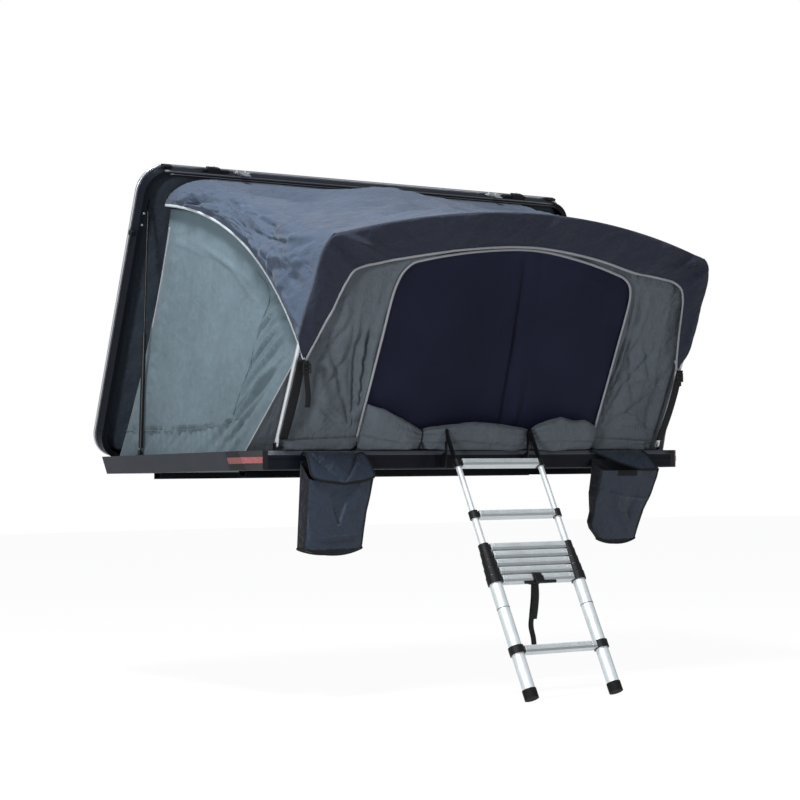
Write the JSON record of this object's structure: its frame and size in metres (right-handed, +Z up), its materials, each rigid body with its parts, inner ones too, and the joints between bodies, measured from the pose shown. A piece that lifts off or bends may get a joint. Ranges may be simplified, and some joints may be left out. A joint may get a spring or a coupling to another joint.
{
  "type": "roof top tent",
  "caption": "Side-opening hard shell roof top tent with hinged lid, folding front bow, fabric walls, mesh door, shoe bags and telescopic ladder, shown open.",
  "frame": {"origin": "centre of the four bolt slots, on the underside of the mounting rails", "axes": "+X along the length of the tray, to the right seen from the door; -Y towards the door; +Z up"},
  "size_m": [2.424, 2.1024, 2.3621],
  "materials": {
    "black_aluminium": "satin powder coat",
    "grey_panel": "satin powder coat",
    "lid_aluminium": "satin",
    "bare_aluminium": "satin",
    "black_plastic": "matte",
    "red_reflector": "gloss",
    "black_rubber": "matte",
    "zinc_steel": "satin",
    "floor_board": "matte",
    "foam_cover": "woven",
    "liner": "quilted",
    "fly_cloth": "woven",
    "visor_cloth": "woven",
    "wall_cloth": "woven",
    "front_cloth": "woven",
    "mesh": "mesh",
    "bag_cloth": "woven",
    "strut_black": "gloss"
  },
  "bodies": {
    "base": {"base_floor": "floor_board", "front_beam": "black_aluminium", "rear_beam": "black_aluminium", "left_end_panel": "grey_panel", "right_end_panel": "grey_panel", "left_corner_block": "black_plastic", "right_corner_block": "black_plastic", "reflectors": "red_reflector", "front_rail": "black_aluminium", "rear_rail": "black_aluminium", "mattress": "foam_cover", "strut_feet": "strut_black", "bow_brackets": "strut_black", "ladder_brackets": "strut_black", "latch_keepers": "zinc_steel", "hinge_base_leaf": "zinc_steel", "hinge_pin": "zinc_steel", "left_shoe_bag": "bag_cloth", "right_shoe_bag": "bag_cloth"},
    "lid": {"lid_skin": "lid_aluminium", "lid_frame": "black_aluminium", "lid_seal": "black_rubber", "headliner": "liner", "keder_rail": "lid_aluminium", "hinge_lid_leaf": "zinc_steel", "strut_studs": "strut_black", "latch_plates": "zinc_steel", "strap_buckles": "black_plastic", "fly": "fly_cloth", "visor": "visor_cloth", "left_wall": "wall_cloth", "right_wall": "wall_cloth", "front_wall": "front_cloth", "mesh_door": "mesh", "door_roll": "front_cloth"},
    "left_latch": {"left_latch_lever": "zinc_steel"},
    "right_latch": {"right_latch_lever": "zinc_steel"},
    "bow_legs": {"left_bow_leg": "bare_aluminium", "right_bow_leg": "bare_aluminium"},
    "bow_top": {"bow_arch": "bare_aluminium"},
    "left_strut": {"left_strut_cylinder": "strut_black"},
    "right_strut": {"right_strut_cylinder": "strut_black"},
    "left_rod": {"left_strut_rod": "strut_black"},
    "right_rod": {"right_strut_rod": "strut_black"},
    "ladder_1": {"ladder_arms": "strut_black", "ladder_section_1": "bare_aluminium"},
    "ladder_2": {"ladder_section_2": "bare_aluminium", "ladder_collars_2": "black_plastic"},
    "ladder_3": {"ladder_section_3": "bare_aluminium", "ladder_collars_3": "black_plastic"},
    "ladder_4": {"ladder_section_4": "bare_aluminium", "ladder_collars_4": "black_plastic"},
    "ladder_5": {"ladder_section_5": "bare_aluminium", "ladder_collars_5": "black_plastic"},
    "ladder_6": {"ladder_section_6": "bare_aluminium", "ladder_collars_6": "black_plastic"},
    "ladder_7": {"ladder_section_7": "bare_aluminium", "ladder_collars_7": "black_plastic", "ladder_feet": "black_rubber"}
  },
  "joints": [
    {"name": "lid_hinge", "type": "hinge", "parent": "base", "child": "lid", "pos_m": [0, 0.69, 0.1], "axis": [1, 0, 0], "range_deg": [0, 67.3], "stiffness_Nm_per_rad": 160, "springref_deg": -114.59, "deforming": ["fly", "visor", "left_wall", "right_wall", "front_wall", "mesh_door", "door_roll", "mattress"]},
    {"name": "bow_leg_fold", "type": "hinge", "parent": "base", "child": "bow_legs", "pos_m": [0, -0.65, 0.132], "axis": [1, 0, 0], "range_deg": [-115.61, 0]},
    {"name": "bow_elbow", "type": "hinge", "parent": "bow_legs", "child": "bow_top", "pos_m": [0, -0.89197, 0.63703], "axis": [1, 0, 0], "range_deg": [0, 188.01]},
    {"name": "left_strut_pivot", "type": "hinge", "parent": "base", "child": "left_strut", "pos_m": [-1.168, 0.346, 0.122], "axis": [1, 0, 0], "range_deg": [0, 84.13]},
    {"name": "left_strut_stroke", "type": "slide", "parent": "left_strut", "child": "left_rod", "axis": [0, -0.0845, 0.9964], "range_m": [-0.2453, 0]},
    {"name": "right_strut_pivot", "type": "hinge", "parent": "base", "child": "right_strut", "pos_m": [1.168, 0.346, 0.122], "axis": [1, 0, 0], "range_deg": [0, 84.13]},
    {"name": "right_strut_stroke", "type": "slide", "parent": "right_strut", "child": "right_rod", "axis": [0, -0.0845, 0.9964], "range_m": [-0.2453, 0]},
    {"name": "left_latch_lever", "type": "hinge", "parent": "lid", "child": "left_latch", "pos_m": [-0.72, 0.19217, 1.40931], "axis": [1, 0, 0], "range_deg": [-100, 0]},
    {"name": "right_latch_lever", "type": "hinge", "parent": "lid", "child": "right_latch", "pos_m": [0.72, 0.19217, 1.40931], "axis": [1, 0, 0], "range_deg": [-100, 0]},
    {"name": "ladder_swing", "type": "hinge", "parent": "base", "child": "ladder_1", "pos_m": [0, -0.724, 0.191], "axis": [1, 0, 0], "range_deg": [-55, 0]},
    {"name": "ladder_slide_1", "type": "slide", "parent": "ladder_1", "child": "ladder_2", "axis": [0, -0.4587, -0.8886], "range_m": [-0.2125, 0]},
    {"name": "ladder_slide_2", "type": "slide", "parent": "ladder_2", "child": "ladder_3", "axis": [0, -0.4587, -0.8886], "range_m": [-0.1195, 0.093]},
    {"name": "ladder_slide_3", "type": "slide", "parent": "ladder_3", "child": "ladder_4", "axis": [0, -0.4587, -0.8886], "range_m": [0, 0.2125]},
    {"name": "ladder_slide_4", "type": "slide", "parent": "ladder_4", "child": "ladder_5", "axis": [0, -0.4587, -0.8886], "range_m": [0, 0.2125]},
    {"name": "ladder_slide_5", "type": "slide", "parent": "ladder_5", "child": "ladder_6", "axis": [0, -0.4587, -0.8886], "range_m": [0, 0.2125]},
    {"name": "ladder_slide_6", "type": "slide", "parent": "ladder_6", "child": "ladder_7", "axis": [0, -0.4587, -0.8886], "range_m": [0, 0.2125]}
  ],
  "couplings": [
    {"joint": "bow_leg_fold", "follows": "lid_hinge", "ratio": -1.7177},
    {"joint": "bow_elbow", "follows": "lid_hinge", "ratio": 2.7935},
    {"joint": "left_strut_pivot", "follows": "lid_hinge", "ratio": 1.2499},
    {"joint": "left_strut_stroke", "follows": "lid_hinge", "m_per_rad": -0.20883},
    {"joint": "right_strut_pivot", "follows": "lid_hinge", "ratio": 1.2499},
    {"joint": "right_strut_stroke", "follows": "lid_hinge", "m_per_rad": -0.20883}
  ]
}
